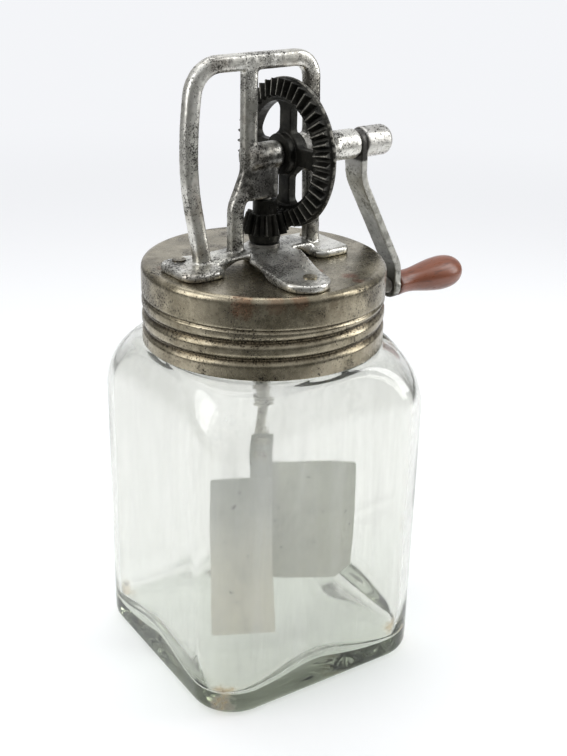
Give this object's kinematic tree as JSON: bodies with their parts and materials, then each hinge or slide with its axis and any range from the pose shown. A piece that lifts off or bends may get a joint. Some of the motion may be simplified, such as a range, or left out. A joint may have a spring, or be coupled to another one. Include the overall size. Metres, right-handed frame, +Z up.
{
  "type": "crank mayonnaise mixer jar",
  "caption": "Square glass mixing jar; its screw lid carries a cast hoop frame, bevel gears and a side crank that spins a two-bladed dasher in the jar",
  "frame": {"origin": "centre of the jar's base on the table, on the dasher's axis", "axes": "+Z up, +X along the crank shaft towards the crank and grip, +Y away from the casting's front foot"},
  "size_m": [0.1588, 0.105, 0.2439],
  "materials": {
    "jar_glass": "clear pressed glass, faintly grey-green, scuffed",
    "plated_sheet": "nickel-plated sheet, tarnished and pitted with rust spots",
    "plated_casting": "nickel-plated casting, worn, speckled with dark pits",
    "dark_casting": "blackened casting with tooth edges worn bright",
    "worn_casting": "plated casting gone dull grey towards the grip",
    "bare_steel": "plain turned steel, dull",
    "tinned_steel": "tinned sheet and rod, dull grey with dark spots",
    "turned_wood": "turned wood, reddish brown, waxed smooth"
  },
  "bodies": {
    "jar": {"glass_jar": "jar_glass"},
    "lid": {"screw_lid": "plated_sheet", "gear_frame": "plated_casting", "foot_rivets": "plated_sheet", "spindle_bush": "bare_steel"},
    "crank": {"gear_shaft": "bare_steel", "drive_gear": "dark_casting", "gear_pin": "bare_steel", "crank_arm": "worn_casting", "grip_pin": "bare_steel"},
    "handle": {"grip": "turned_wood"},
    "dasher": {"dasher_spindle": "bare_steel", "pinion_gear": "dark_casting", "pinion_pin": "bare_steel", "coupling_sleeve": "bare_steel", "dasher_rod": "tinned_steel", "blade_left": "tinned_steel", "blade_right": "tinned_steel", "blade_rivets": "tinned_steel"}
  },
  "joints": [
    {"name": "lid_lift", "type": "slide", "parent": "jar", "child": "lid", "axis": [0, 0, 1], "range_m": [0, 0.165]},
    {"name": "crank_turn", "type": "hinge", "parent": "lid", "child": "crank", "pos_m": [0.03, 0, 0.2063], "axis": [1, 0, 0], "continuous": true},
    {"name": "grip_turn", "type": "hinge", "parent": "crank", "child": "handle", "pos_m": [0.085, 0, 0.144], "axis": [1, 0, 0], "continuous": true},
    {"name": "dasher_turn", "type": "hinge", "parent": "lid", "child": "dasher", "pos_m": [0, 0, 0.17], "axis": [0, 0, 1], "continuous": true}
  ],
  "couplings": [
    {"joint": "dasher_turn", "follows": "crank_turn", "ratio": 3.5}
  ]
}
